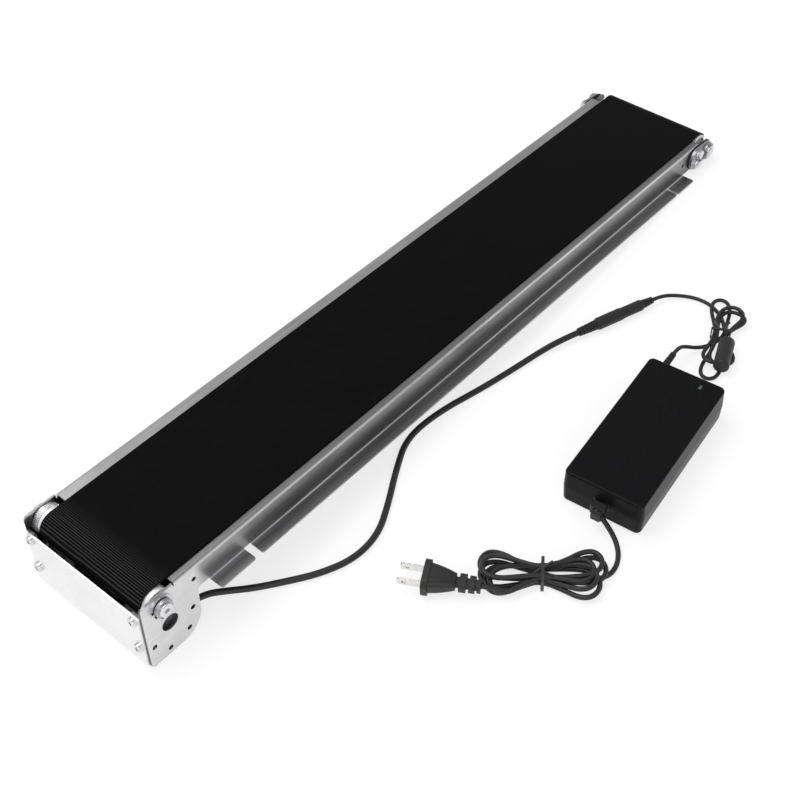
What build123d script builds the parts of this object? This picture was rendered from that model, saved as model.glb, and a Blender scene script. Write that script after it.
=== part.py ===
from build123d import *
from math import asin, atan2, cos, degrees, hypot, pi, radians, sin, tan
import os

os.makedirs("parts", exist_ok=True)

# A small powered belt conveyor: one folded stainless frame, a knurled drive drum with a geared
# motor in a sheet housing at one end, a take-up drum at the other, and its supply lying beside it.
# The machine is drawn level, with X from the drive end to the tail, Z up and the bed's top face
# at Z = 0, and is then tipped by the few degrees at which it stands on a bench.

# ---------------------------------------------------------------- driving dimensions, mm
SHEET = 1.5                 # stainless sheet of the frame and cover
BEND = 2.5                  # outer radius of a fold
HALF_WIDTH = 59.0           # centre line to the outer face of a side web
BED_LENGTH = 650.0
FLANGE_TOP = -24.4          # upper face of the foot flanges
FLANGE_WIDTH = 11.5
FLANGE_RUNS = ((29.5, 61.5), (68.0, 601.8), (603.8, 630.0))
EAR_FRONT = -29.2
EAR_REAR = 18.0
EAR_BOTTOM = -65.0
EAR_CORNER = 20.0
TAIL_END = 672.5
TAIL_TOP = -3.6

DRUM_R = 11.0
AXLE_Z = -11.0
DRIVE_X = -13.0
TAIL_X = 661.0
BELT_GAP = 0.3
BELT_THICK = 1.2
BELT_WIDTH = 100.0
BELT_Y = -2.5
SHAFT_R = 4.0
RUN_FIT = 0.05              # radial clearance of a running fit
TAKE_UP = 4.0               # travel of the tail drum towards the drive end

GEAR_MODULE = 0.5
ROLLER_TEETH = 44
MOTOR_TEETH = 50
GEAR_Y = (51.7, 56.7)
MOTOR_AXIS = (-8.4, -33.9)
MOTOR_CENTRE = (-6.2, -41.9)
PILOT_R = 7.0
BRUSH_R = 13.0
BRUSH_END = -51.0
BOLT_CIRCLE_R = 18.2
BOLT_ANGLES = (12.0, -48.0, -108.0, -168.0)
BOLT_HOLE_R = 2.1
WEB_HOLES = ((16.0, -11.9, 1.9), (626.0, -11.7, 1.75))

COVER_TOP = -11.0
COVER_SCREWS = ((51.5, -16.0), (51.5, -45.0), (-51.5, -16.0), (-51.5, -45.0))

TAIL_BOLTS = ((647.0, -7.6), (647.0, -17.8))

GROMMET_R = 4.2
LEAD_Y = -47.0
LEAD_ANGLE = -17.0          # the lead's way out through the rear corner's curve
LEAD_START = 24.2           # where the lead begins, from the centre of that curve

# The supply and the cords are placed on the bench, in the standing machine's frame.
ADAPTER = (6.5, -212.5)
ADAPTER_TURN = 5.6
ADAPTER_SIZE = (136.5, 64.5, 32.0)
RELIEF_SIDE = 24.0
RELIEF_Z = 14.0
RELIEF_LENGTH = 27.0

MOTOR_LEAD_D = 5.0
MOTOR_LEAD = [
    (-299.8, -47.0, 11.5), (-289.5, -47.0, 7.65), (-277.5, -54.0, 3.8), (-263, -67.0, 2.6),
    (-245.5, -80.5, 2.6), (-224.5, -95.5, 2.6), (-199.5, -106.0, 2.6), (-173, -105.0, 2.6),
    (-147.5, -92.5, 2.6), (-120.5, -77.0, 2.6), (-91.5, -63.0, 2.6), (-55.5, -65.5, 2.6),
    (-15.5, -76.5, 2.6), (18.5, -84.0, 2.6), (44.5, -89.5, 3.4), (63.9, -96.0, 5.4),
    (80.7, -102.4, 5.4),
]

JACK_START = (80.7, -102.4, 5.4)
JACK_LINE = (0.9347, -0.3554, 0.0)

DC_LEAD_D = 3.2
DC_LEAD = [
    (148.95, -128.35, 5.4), (158.3, -131.9, 5.4), (168.7, -141.0, 3.4), (176.1, -152.8, 2.1),
    (177.3, -165.8, 2.1), (171.7, -177.5, 3.4), (165, -185.5, 6.0),
]
DC_TAIL = [
    (98.96, -179.32, 14.0), (108, -178.5, 14.0), (117, -180.2, 8.6), (124.5, -185.6, 4.4),
    (130.5, -192.0, 5.2),
]
DC_HANK = Location((147.0, -194.5, 0), (0, 0, 27.4))

AC_CORD_D = 3.8
AC_CORD = [
    (-69.0, -226.8, 12.0), (-70.8, -235.5, 7.4), (-76.5, -245.5, 2.8), (-87.0, -252.6, 2.1),
    (-98.5, -254.2, 2.1), (-108.0, -250.5, 4.5),
]
AC_END = [
    (-165.91, -192.39, 8.8), (-162.44, -199.04, 8.8), (-157.8, -206.6, 6.4), (-150.0, -211.0, 4.4),
]
AC_HANK = Location((-129.5, -218.0, 0), (0, 0, -54.9))
PLUG_FACE = (-184.7, -156.4, 8.8)
PLUG_LENGTH = 40.6
PLUG_RIBS = (               # distance from the face, length, width and height of each
    (25.4, 5.0, 12.4, 9.2), (32.4, 4.2, 11.6, 8.6), (38.2, 2.4, 10.4, 7.8),
)
PLUG_LINE = (0.4628, -0.8865, 0.0)

# ---------------------------------------------------------------- how the machine stands
# It rests on the round lower corner of its drive housing and on the far end of its flanges.
CORNER_X = EAR_REAR - EAR_CORNER
CORNER_Z = EAR_BOTTOM + EAR_CORNER
HEEL_X = FLANGE_RUNS[-1][1]
HEEL_Z = FLANGE_TOP - SHEET
REACH = hypot(HEEL_X - CORNER_X, CORNER_Z - HEEL_Z)
TILT = degrees(asin(EAR_CORNER / REACH) - atan2(CORNER_Z - HEEL_Z, HEEL_X - CORNER_X))
LIFT = EAR_CORNER + CORNER_X * sin(radians(TILT)) - CORNER_Z * cos(radians(TILT))
CENTRE_X = 317.7            # brings the standing machine's middle to X = 0
STAND = Location((-CENTRE_X, 0, LIFT)) * Location((0, 0, 0), (0, TILT, 0))


def standing(x, y, z):
    """A point of the level machine, where it is once the machine stands on the bench."""
    p = STAND * Location((x, y, z))
    return p.position


nodes = {}


def keep(name, shape, on_machine=True):
    """Keeps one node; machine nodes are tipped to the standing pose."""
    nodes[name] = STAND * shape if on_machine else shape


def across(radius, y0, y1, x, z):
    """A round bar lying across the machine, along Y."""
    bar = Cylinder(radius, y1 - y0, align=(Align.CENTER, Align.CENTER, Align.MIN))
    return Location((x, y0, z)) * (Location((0, 0, 0), (-90, 0, 0)) * bar)


def ring(outer, inner, y0, y1, x, z):
    return across(outer, y0, y1, x, z) - across(inner, y0 - 1, y1 + 1, x, z)


def hexagon(across_corners_r, y0, y1, x, z):
    """A six-sided bar lying across the machine."""
    prism = extrude(RegularPolygon(across_corners_r, 6), y1 - y0)
    return Location((x, y0, z)) * (Location((0, 0, 0), (-90, 0, 0)) * prism)


def along(radius, x0, x1, y, z):
    """A round bar lying along the machine, along X."""
    bar = Cylinder(radius, x1 - x0, align=(Align.CENTER, Align.CENTER, Align.MIN))
    return Location((x0, y, z)) * (Location((0, 0, 0), (0, 90, 0)) * bar)


def box(x0, x1, y0, y1, z0, z1):
    size = (x1 - x0, y1 - y0, z1 - z0)
    return Location(((x0 + x1) / 2, (y0 + y1) / 2, (z0 + z1) / 2)) * Box(*size)


def side_profile(face, y0, y1):
    """Extrudes a face drawn in X and Z across the machine, from y0 to y1."""
    solid = extrude(face, y1 - y0)
    return Location((0, y1, 0)) * (Location((0, 0, 0), (90, 0, 0)) * solid)


def both_sides(solid):
    return [solid, mirror(solid, Plane.XZ)]


# ---------------------------------------------------------------- frame
def hat_section():
    """The bed, webs and foot flanges, as one folded section running the bed's length."""
    w, inner, foot = HALF_WIDTH, HALF_WIDTH - SHEET, HALF_WIDTH + FLANGE_WIDTH
    under = FLANGE_TOP - SHEET
    right = [(foot, under), (foot, FLANGE_TOP), (w, FLANGE_TOP), (w, 0)]
    under_side = [(inner, -SHEET), (inner, under)]
    left = [(-y, z) for y, z in reversed(right)]
    under_left = [(-y, z) for y, z in under_side]
    outline = Polyline(*right, *left, *reversed(under_left), *under_side, close=True)
    face = make_face(outline)
    tight = BEND - SHEET
    folds = {(w, 0): BEND, (inner, -SHEET): tight, (w, FLANGE_TOP): tight, (inner, under): BEND}
    for (y, z), radius in folds.items():
        corners = [v for v in face.vertices() if abs(abs(v.X) - y) < 0.01 and abs(v.Y - z) < 0.01]
        face = fillet(corners, radius)
    solid = extrude(face, BED_LENGTH)
    return Plane(origin=(0, 0, 0), x_dir=(0, 1, 0), z_dir=(1, 0, 0)).location * solid


def ear_outline():
    """The drive end's deep side plate: rounded front corners, a big round lower rear corner."""
    web_foot = FLANGE_TOP + 1.0
    throat = 3.5
    points = [
        (-1.2, 0), (-1.2, -3.6), (26, -3.6), (26, web_foot), (EAR_REAR, web_foot),
        (EAR_REAR, EAR_BOTTOM), (EAR_FRONT, EAR_BOTTOM), (EAR_FRONT, 0),
    ]
    face = make_face(Polyline(*points, close=True))
    rounds = {
        (EAR_REAR, web_foot): throat, (EAR_REAR, EAR_BOTTOM): EAR_CORNER,
        (EAR_FRONT, EAR_BOTTOM): 3.0, (EAR_FRONT, 0): 5.0,
    }
    for (x, z), radius in rounds.items():
        corners = [v for v in face.vertices() if abs(v.X - x) < 0.01 and abs(v.Y - z) < 0.01]
        face = fillet(corners, radius)
    return face


def ear():
    """One side plate with its front edge folded inward to carry the cover."""
    inner = HALF_WIDTH - SHEET
    fold = 49.0
    ell = make_face(Polyline(
        (EAR_FRONT, HALF_WIDTH), (26, HALF_WIDTH), (26, inner), (EAR_FRONT + SHEET, inner),
        (EAR_FRONT + SHEET, fold), (EAR_FRONT, fold), close=True))
    outer = [v for v in ell.vertices() if v.X < EAR_FRONT + 0.1 and v.Y > inner + 0.1]
    ell = fillet(outer, BEND)
    corner = [v for v in ell.vertices() if abs(v.X - EAR_FRONT - SHEET) < 0.1 and v.Y > fold + 1]
    ell = fillet(corner, BEND - SHEET)
    column = Location((0, 0, EAR_BOTTOM)) * extrude(ell, -EAR_BOTTOM)
    plate = column & side_profile(ear_outline(), fold - 1, HALF_WIDTH + 1)
    lip_limit = inner - 1.0
    plate -= box(EAR_FRONT - 1, EAR_FRONT + 5, fold - 1, lip_limit, COVER_TOP + 1, 5)
    plate -= box(EAR_FRONT - 1, EAR_FRONT + 5, fold - 1, lip_limit, EAR_BOTTOM - 1, -60.8)
    plate -= across(9.35 - 1.3, 50, 65, DRIVE_X, AXLE_Z)
    plate -= across(PILOT_R, 50, 65, *MOTOR_AXIS)
    for angle in BOLT_ANGLES:
        plate -= across(BOLT_HOLE_R, 50, 65, *bolt_place(angle))
    for y, z in COVER_SCREWS[:2]:
        plate -= along(2.15, EAR_FRONT - 2, EAR_FRONT + 4, y, z)
    return plate


def bolt_place(angle):
    x = MOTOR_CENTRE[0] + BOLT_CIRCLE_R * cos(radians(angle))
    z = MOTOR_CENTRE[1] + BOLT_CIRCLE_R * sin(radians(angle))
    return x, z


def tail_web():
    """The web beyond the bed's end, rounded, with the slots of the take-up."""
    foot = FLANGE_TOP + 1.0
    face = make_face(Polyline(
        (640, TAIL_TOP), (TAIL_END, TAIL_TOP), (TAIL_END, foot), (640, foot), close=True))
    face = fillet([v for v in face.vertices() if v.X > 650], 7.0)
    return side_profile(face, HALF_WIDTH - SHEET, HALF_WIDTH)


def take_up_slot(radius, x, z):
    """A slot that lets a pin of the take-up travel."""
    slot = box(x - TAKE_UP, x, 50, 65, z - radius, z + radius)
    return slot + across(radius, 50, 65, x, z) + across(radius, 50, 65, x - TAKE_UP, z)


def bed_frame():
    body = hat_section()
    gap_ends = [-1.0] + [x for run in FLANGE_RUNS for x in run] + [BED_LENGTH + 1]
    for x0, x1 in zip(gap_ends[0::2], gap_ends[1::2]):
        for sign in (1, -1):
            y0, y1 = sorted((sign * 56.0, sign * 75.0))
            body -= box(x0, x1, y0, y1, FLANGE_TOP - 5, FLANGE_TOP + 1.0)
    corners = []
    for x0, x1 in FLANGE_RUNS:
        for x in (x0, x1):
            for e in body.edges().filter_by(Axis.Z):
                on_rim = abs(abs(e.center().Y) - HALF_WIDTH - FLANGE_WIDTH) < 0.01
                if on_rim and abs(e.center().X - x) < 0.01:
                    corners.append(e)
    body = fillet(corners, 1.6)
    for plate in (ear(), tail_web()):
        for side in both_sides(plate):
            body += side
    slots = [take_up_slot(SHAFT_R + 0.3, TAIL_X, AXLE_Z)]
    slots += [take_up_slot(2.15, x, z) for x, z in TAIL_BOLTS]
    holes = [across(r, 50, 65, x, z) for x, z, r in WEB_HOLES]
    for cut in slots + holes:
        for side in both_sides(cut):
            body -= side
    return body


# ---------------------------------------------------------------- housing
def front_cover():
    """The wrap-round cover: front plate, belly and rear wall in one folded sheet."""
    front, back = EAR_FRONT - SHEET, EAR_FRONT
    low = EAR_BOTTOM + 0.8
    rear = EAR_REAR - 0.8
    rear_top = -27.0
    rim = make_face(Polyline(
        (front, COVER_TOP), (front, low), (rear, low), (rear, rear_top),
        (rear - SHEET, rear_top), (rear - SHEET, low + SHEET), (back, low + SHEET),
        (back, COVER_TOP), close=True))
    rounds = (
        ((front, low), 3.0), ((back, low + SHEET), 1.5),
        ((rear, low), EAR_CORNER - 0.8), ((rear - SHEET, low + SHEET), EAR_CORNER - 0.8 - SHEET),
    )
    for (x, z), radius in rounds:
        corners = [v for v in rim.vertices() if abs(v.X - x) < 0.01 and abs(v.Y - z) < 0.01]
        rim = fillet(corners, radius)
    cover = side_profile(rim, -56.4, 56.4)
    for y, z in COVER_SCREWS:
        cover -= along(2.15, front - 2, back + 1, y, z)
    return cover - lead_way(GROMMET_R, 14.0, 24.0)


def lead_way(radius, near, far):
    """A round bar on the lead's way out, measured from the centre of the rear corner's curve."""
    turn = radians(LEAD_ANGLE)
    line = (cos(turn), 0, sin(turn))
    start = (CORNER_X + near * line[0], LEAD_Y, CORNER_Z + near * line[2])
    return lying_rod(start, line, far - near, radius)


def cover_screws():
    """Pan-head screws with a cross recess, in the front plate."""
    front = EAR_FRONT - SHEET
    group = []
    for y, z in COVER_SCREWS:
        head = along(3.9, front - 2.6, front, y, z)
        head = fillet(head.edges().filter_by(GeomType.CIRCLE).sort_by(Axis.X)[:1], 1.2)
        shank = along(2.0, front - 0.5, EAR_FRONT + SHEET + 0.75, y, z)
        screw = head + shank
        for turn in (0, 90):
            slot = Location((front - 2.6, y, z), (turn, 0, 0)) * Box(2.4, 0.8, 4.2)
            screw -= slot
        group.append(screw)
    return Compound(children=group)


def clinch_nuts():
    """Thin nuts pressed into the folded edges behind the cover."""
    x0 = EAR_FRONT + SHEET
    group = []
    for y, z in COVER_SCREWS:
        group.append(along(3.4, x0, x0 + 0.8, y, z) - along(2.02, x0 - 1, x0 + 2, y, z))
    return Compound(children=group)


def cable_grommet():
    """Rubber bush in the curve of the rear wall, where the motor's lead comes out."""
    sheet_out = EAR_CORNER - 0.8
    sheet_in = sheet_out - SHEET
    outside = across(sheet_out, LEAD_Y - 20, LEAD_Y + 20, CORNER_X, CORNER_Z)
    inside = across(sheet_in, LEAD_Y - 20, LEAD_Y + 20, CORNER_X, CORNER_Z)
    bush = lead_way(GROMMET_R, sheet_in - 1.0, sheet_out + 1.0)
    bush += lead_way(GROMMET_R + 1.6, sheet_out - 2.0, sheet_out + 1.4) - outside
    bush += lead_way(GROMMET_R + 1.6, sheet_in - 2.2, sheet_in) & inside
    bush += lead_way(3.4, sheet_out, LEAD_START)
    return bush - lead_way(1.5, 5.0, 30.0)


def inner_lead():
    """The twisted cores from the grommet straight into the side of the brush housing."""
    lead = lead_way(1.48, 4.0, 13.0)
    return lead - across(BRUSH_R, LEAD_Y - 10, LEAD_Y + 10, *MOTOR_CENTRE)


# ---------------------------------------------------------------- bearings and drums
def flanged_bearing_outer():
    """Outer race with its flange outside the plate, and a shield at each face."""
    x, z = DRIVE_X, AXLE_Z
    race = ring(8.0, 6.9, 55.0, 60.1, x, z) + ring(9.3, 7.9, 59.0, 60.1, x, z)
    race += ring(7.2, 5.25, 59.3, 59.9, x, z) + ring(7.2, 5.25, 55.2, 55.8, x, z)
    return race


def bearing_balls():
    group = []
    count = 9
    for side in (1, -1):
        for i in range(count):
            a = 2 * pi * i / count
            place = (DRIVE_X + 6.05 * cos(a), side * 57.5, AXLE_Z + 6.05 * sin(a))
            group.append(Location(place) * Sphere(0.8))
    return Compound(children=group)


def inner_races():
    race = ring(5.2, SHAFT_R, 55.0, 60.3, DRIVE_X, AXLE_Z)
    return Compound(children=both_sides(race))


def drum(x, y0, y1, recess):
    """A drum bored for its shaft, with a recess in each end face."""
    body = across(DRUM_R, y0, y1, x, AXLE_Z) - across(SHAFT_R, y0 - 1, y1 + 1, x, AXLE_Z)
    body -= across(8.7, y1 - recess, y1 + 1, x, AXLE_Z)
    body -= across(8.7, y0 - 1, y0 + recess, x, AXLE_Z)
    rims = [e for e in body.edges().filter_by(GeomType.CIRCLE) if abs(e.radius - DRUM_R) < 0.01]
    return chamfer(rims, 0.4)


def drive_shaft():
    shaft = across(SHAFT_R, -60.6, 60.6, DRIVE_X, AXLE_Z)
    for y0, y1 in ((-62, -52), (52, 62)):
        shaft -= across(1.6, y0, y1, DRIVE_X, AXLE_Z)
    return shaft


def shaft_end_screws():
    """A low-headed socket screw in each shaft end."""
    head = across(5.3, 63.2, 65.2, DRIVE_X, AXLE_Z)
    head = fillet(head.edges().filter_by(GeomType.CIRCLE).sort_by(Axis.Y)[-1:], 1.0)
    screw = head + across(1.58, 53.0, 63.3, DRIVE_X, AXLE_Z)
    screw -= hexagon(2.3, 63.7, 66.0, DRIVE_X, AXLE_Z)
    return Compound(children=both_sides(screw))


def shaft_end_washers():
    washer = ring(7.2, 1.7, 60.6, 63.2, DRIVE_X, AXLE_Z)
    rims = washer.edges().filter_by(GeomType.CIRCLE).group_by(Axis.Y)[-1]
    washer = chamfer([e for e in rims if e.radius > 5], 0.4)
    washers = both_sides(washer)
    screws = collar_set_screws()
    return Compound(children=[w - screws for w in washers])


def collar_set_screws():
    """Two socket set screws that stand out of each collar."""
    group = []
    for angle in (200.0, 250.0):
        line = (cos(radians(angle)), 0, sin(radians(angle)))
        start = (DRIVE_X + 6.0 * line[0], 61.9, AXLE_Z + 6.0 * line[2])
        group += both_sides(lying_rod(start, line, 2.3, 1.0))
    return Compound(children=group)


def spur_gear(teeth, x, z, first_angle):
    """A spur gear with straight-flanked teeth, thinned so that the mesh runs with backlash."""
    pitch_r = GEAR_MODULE * teeth / 2
    root_r = pitch_r - 1.25 * GEAR_MODULE
    tip_r = pitch_r + 0.9 * GEAR_MODULE
    half_root = 0.86 * GEAR_MODULE
    half_tip = 0.30 * GEAR_MODULE
    y0, y1 = GEAR_Y
    blank = across(root_r, y0, y1, x, z)
    tooth = make_face(Polyline(
        (root_r - 0.5, -half_root), (tip_r, -half_tip), (tip_r, half_tip),
        (root_r - 0.5, half_root), close=True))
    tooth = side_profile(tooth, y0, y1)
    for i in range(teeth):
        turn = first_angle + 360.0 * i / teeth
        blank += Location((x, 0, z)) * (Location((0, 0, 0), (0, turn, 0)) * tooth)
    return blank


def mesh_angle():
    """Direction from the roller gear to the motor gear, as a turn about Y."""
    dx = MOTOR_AXIS[0] - DRIVE_X
    dz = MOTOR_AXIS[1] - AXLE_Z
    return degrees(atan2(-dz, dx))


def roller_gear():
    gear = spur_gear(ROLLER_TEETH, DRIVE_X, AXLE_Z, mesh_angle())
    gear -= across(8.6, GEAR_Y[1] - 2.2, GEAR_Y[1] + 1, DRIVE_X, AXLE_Z)
    return gear - across(SHAFT_R, 40, 60, DRIVE_X, AXLE_Z)


def motor_gear():
    half_pitch = 180.0 / MOTOR_TEETH
    gear = spur_gear(MOTOR_TEETH, *MOTOR_AXIS, mesh_angle() + 180.0 + half_pitch)
    return gear - across(3.0, 40, 60, *MOTOR_AXIS)


def conveyor_belt():
    """The endless belt, drawn as a loop clear of both drums by a third of a millimetre."""
    inner = DRUM_R + BELT_GAP
    outer = inner + BELT_THICK

    def loop(radius, y0, y1):
        slab = box(DRIVE_X, TAIL_X, y0, y1, AXLE_Z - radius, AXLE_Z + radius)
        return slab + across(radius, y0, y1, DRIVE_X, AXLE_Z) + across(radius, y0, y1, TAIL_X, AXLE_Z)

    y0, y1 = BELT_Y - BELT_WIDTH / 2, BELT_Y + BELT_WIDTH / 2
    return loop(outer, y0, y1) - loop(inner, y0 - 1, y1 + 1)


# ---------------------------------------------------------------- motor
def motor_plate():
    """Plate on four swaged pillars, which carries the gearbox beside the left ear."""
    plate = box(-25.4, 14.6, 46.0, 48.0, -61.6, -25.0)
    corners = plate.edges().filter_by(Axis.Y)
    rear_low = [e for e in corners if e.center().X > 0 and e.center().Z < -50]
    plate = fillet(rear_low, 16.0)
    others = [e for e in plate.edges().filter_by(Axis.Y)
              if e.geom_type == GeomType.LINE and (e.center().X < -20 or e.center().Z > -26)
              and abs(e.center().Y - 47.0) < 0.01]
    plate = fillet(others, 4.0)
    plate -= across(6.6, 45, 49, *MOTOR_AXIS)
    for angle in BOLT_ANGLES:
        plate -= across(1.4, 45, 49, *bolt_place(angle))
    for x, z in gearbox_screw_places():
        plate -= across(1.6, 45, 49, x, z)
    return plate


def gearbox_screw_places():
    return [(MOTOR_CENTRE[0] + 13.2 * cos(radians(a)), MOTOR_CENTRE[1] + 13.2 * sin(radians(a)))
            for a in (-20.0, -90.0, -160.0)]


def motor_pillars():
    group = []
    for angle in BOLT_ANGLES:
        x, z = bolt_place(angle)
        pillar = across(2.6, 48.0, HALF_WIDTH - SHEET, x, z) + across(1.4, 46.0, 48.1, x, z)
        group.append(pillar - across(1.5, 50.0, 60.0, x, z))
    return Compound(children=group)


def pillar_screws():
    group = []
    for angle in BOLT_ANGLES:
        x, z = bolt_place(angle)
        head = across(3.6, HALF_WIDTH, HALF_WIDTH + 2.2, x, z)
        head = fillet(head.edges().filter_by(GeomType.CIRCLE).sort_by(Axis.Y)[-1:], 1.0)
        screw = head + across(1.5, 51.0, HALF_WIDTH + 0.5, x, z)
        group.append(screw - hexagon(1.5, HALF_WIDTH + 1.0, HALF_WIDTH + 4, x, z))
    return Compound(children=group)


def gearbox_screws():
    group = []
    for x, z in gearbox_screw_places():
        head = across(2.8, 48.0, 50.2, x, z)
        group.append(head + across(1.5, 41.0, 48.1, x, z))
    return Compound(children=group)


def gearbox_housing():
    body = across(17.0, 24.0, 46.0, *MOTOR_CENTRE) + across(5.8, 45.9, 48.6, *MOTOR_AXIS)
    body -= across(3.0 + RUN_FIT, 30.0, 49.0, *MOTOR_AXIS)
    for x, z in gearbox_screw_places():
        body -= across(1.5, 40.9, 47.0, x, z)
    return body


def motor_can():
    body = across(16.4, -24.0, 24.0, *MOTOR_CENTRE)
    rims = body.edges().filter_by(GeomType.CIRCLE).sort_by(Axis.Y)[:1]
    return fillet(rims, 1.5)


def motor_end_cap():
    """The brush housing, which fills the right-hand side of the drive housing."""
    cap = across(BRUSH_R, BRUSH_END, -24.0, *MOTOR_CENTRE)
    rim = cap.edges().filter_by(GeomType.CIRCLE).sort_by(Axis.Y)[:1]
    return fillet(rim, 1.5)


def motor_terminals():
    x, z = MOTOR_CENTRE
    reach = (BRUSH_END - 3.5, BRUSH_END)
    tags = [box(x - 1.4, x + 1.4, *reach, z + dz - 0.4, z + dz + 0.4) for dz in (-9.5, 9.5)]
    return Compound(children=tags)


def output_shaft():
    shaft = across(3.0, 31.0, 58.4, *MOTOR_AXIS)
    return chamfer(shaft.edges().filter_by(GeomType.CIRCLE).sort_by(Axis.Y)[-1:], 0.4)


# ---------------------------------------------------------------- tail take-up
def take_up_outline(grow):
    """Two bolts at the root and the shaft's boss at the tip, joined by a smooth outline."""
    root = Location((646.0, -12.4)) * Circle(10.9 + grow)
    boss = Location((TAIL_X, AXLE_Z)) * Circle(8.6 + grow)
    return make_hull(root.edges() + boss.edges())


def take_up_pads():
    """Slide pads between the webs and the plates."""
    pad = side_profile(take_up_outline(0.6), HALF_WIDTH + 0.05, HALF_WIDTH + 1.0)
    return Compound(children=both_sides(take_up_bores(pad, 5.65)))


def take_up_plates():
    plate = side_profile(take_up_outline(0.0), HALF_WIDTH + 1.0, HALF_WIDTH + 3.6)
    plate += across(8.0, HALF_WIDTH + 3.5, HALF_WIDTH + 6.0, TAIL_X, AXLE_Z)
    return Compound(children=both_sides(take_up_bores(plate, 5.6)))


def take_up_bores(solid, shaft_bore):
    solid -= across(shaft_bore, 50, 70, TAIL_X, AXLE_Z)
    for x, z in TAIL_BOLTS:
        solid -= across(2.05, 50, 70, x, z)
    return solid


def tail_bushings():
    """Flanged plain bushings pressed into the plates."""
    bush = ring(5.6, SHAFT_R + RUN_FIT, HALF_WIDTH + 0.2, HALF_WIDTH + 6.0, TAIL_X, AXLE_Z)
    bush += ring(7.0, SHAFT_R + RUN_FIT, HALF_WIDTH + 6.0, HALF_WIDTH + 6.9, TAIL_X, AXLE_Z)
    return Compound(children=both_sides(bush))


def take_up_bolts():
    group = []
    outer = HALF_WIDTH + 3.6
    for x, z in TAIL_BOLTS:
        bolt = hexagon(4.0, outer + 0.6, outer + 3.2, x, z) + across(2.0, 54.0, outer + 0.7, x, z)
        group += both_sides(bolt)
    return Compound(children=group)


def take_up_washers():
    group = []
    outer = HALF_WIDTH + 3.6
    for x, z in TAIL_BOLTS:
        group += both_sides(ring(4.5, 2.05, outer, outer + 0.6, x, z))
    return Compound(children=group)


def take_up_nuts():
    group = []
    for x, z in TAIL_BOLTS:
        nut = hexagon(4.0, 54.3, HALF_WIDTH - SHEET - 0.05, x, z) - across(2.0, 50, 60, x, z)
        group += both_sides(nut)
    return Compound(children=group)


def tail_shaft():
    shaft = across(SHAFT_R, -67.8, 67.8, TAIL_X, AXLE_Z)
    rims = shaft.edges().filter_by(GeomType.CIRCLE).sort_by(Axis.Y)
    return chamfer([rims[0], rims[-1]], 0.5)


def tail_shaft_clips():
    clip = ring(5.8, SHAFT_R, 66.1, 66.9, TAIL_X, AXLE_Z)
    return Compound(children=both_sides(clip))


# ---------------------------------------------------------------- supply
SUPPLY = Location((ADAPTER[0], ADAPTER[1], 0), (0, 0, ADAPTER_TURN))


def adapter_half(height):
    """Half of the case, from the parting line up: drafted, hollow, with a rounded rim."""
    length, width = ADAPTER_SIZE[:2]
    wall = 2.2
    draft = 2.5
    solid = extrude(RectangleRounded(length, width, 5.0), height, taper=draft)
    top = solid.faces().sort_by(Axis.Z)[-1]
    solid = fillet(top.edges(), 1.8)
    inside = RectangleRounded(length - 2 * wall, width - 2 * wall, 3.0)
    hollow = extrude(inside, height - wall, taper=draft)
    return solid - hollow


def build_adapter():
    length, width, height = ADAPTER_SIZE
    middle = Location((0, 0, height / 2))
    foot = 0.8
    top = middle * adapter_half(height / 2)
    bottom = middle * mirror(adapter_half(height / 2 - foot), Plane.XY)
    for sx in (1, -1):
        for sy in (1, -1):
            bottom += Location((sx * 50, sy * 20, 3.75)) * Cylinder(2.5, 1.7)
    port = Location((-length / 2, 0, 15.0)) * Box(12, 13.4, 8.4)
    relief = dc_relief()
    led_hole = Location((length / 2 - 10.5, -14.5, height)) * Box(4.4, 2.2, 8.0)
    top = top - port - relief - led_hole
    bottom = bottom - port - relief
    keep("dc_strain_relief", SUPPLY * relief, False)
    keep("adapter_top_shell", SUPPLY * top, False)
    keep("adapter_bottom_shell", SUPPLY * bottom, False)
    lens = Location((length / 2 - 10.5, -14.5, height - 1.45)) * Box(4.4, 2.2, 3.1)
    keep("led_lens", SUPPLY * lens, False)
    feet = [Location((sx * 56, sy * 24, 0.4)) * Cylinder(4.0, 0.8) for sx in (1, -1) for sy in (1, -1)]
    keep("adapter_feet", Compound(children=[SUPPLY * f for f in feet]), False)
    inlet = Location((-length / 2 + 5.2, 0, 15.0)) * Box(9.4, 13.4, 8.4)
    inlet -= Location((-length / 2 + 1.0, 0, 15.0)) * Box(8.0, 10.2, 6.6)
    for sy in (-2.2, 2.2):
        inlet += along(0.9, -length / 2 + 0.5, -length / 2 + 6.5, sy, 15.0)
    keep("ac_inlet", SUPPLY * inlet, False)
    board = box(-58, 58, -26, 26, 4.6, 6.2)
    transformer = box(-8, 18, -13, 13, 6.2, 24.0)
    capacitor = Location((-32, -8, 15.2)) * Cylinder(8.0, 18.0)
    heat_sink = box(30, 34, -20, 20, 6.2, 24.0)
    keep("adapter_board", SUPPLY * (board + transformer + capacitor + heat_sink), False)


def dc_relief():
    """The supply's ribbed relief, from just inside the case's end wall."""
    start = (ADAPTER_SIZE[0] / 2 - 2.0, RELIEF_SIDE, RELIEF_Z)
    return ribbed_relief(start, (1, 0, 0), RELIEF_LENGTH + 2.0, 3.3, 2.5, 6)


def lying_cone(start, direction, length, r0, r1):
    """A tapered round piece whose axis starts at a point and runs in a direction."""
    plane = Plane(origin=start, z_dir=direction)
    cone = Cone(r0, r1, length, align=(Align.CENTER, Align.CENTER, Align.MIN))
    return plane.location * cone


def lying_rod(start, direction, length, radius):
    plane = Plane(origin=start, z_dir=direction)
    rod = Cylinder(radius, length, align=(Align.CENTER, Align.CENTER, Align.MIN))
    return plane.location * rod


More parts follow.
